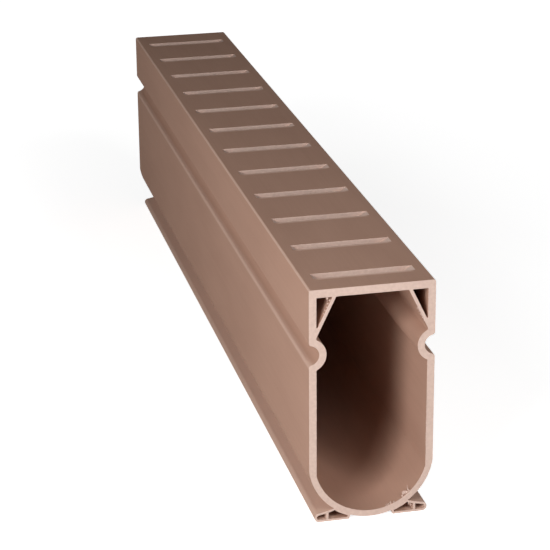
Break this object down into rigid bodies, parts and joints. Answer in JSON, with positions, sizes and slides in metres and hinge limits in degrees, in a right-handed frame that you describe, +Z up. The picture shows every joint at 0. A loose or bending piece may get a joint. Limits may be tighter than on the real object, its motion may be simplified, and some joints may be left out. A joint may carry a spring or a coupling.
{
  "type": "channel drain",
  "caption": "Straight length of slotted channel drain: a hollow round-bottomed extruded section with anchor grooves, cross slots in its flat top and two hollow feet.",
  "frame": {"origin": "on the ground the feet stand on, under the middle of the length and width", "axes": "+X across the width, +Y along the length away from the end with the shorter margin to its first slot, +Z up"},
  "size_m": [0.0382, 0.3048, 0.0745],
  "materials": {
    "pvc": "satin"
  },
  "bodies": {
    "root": {"channel_body": "pvc"}
  },
  "joints": []
}
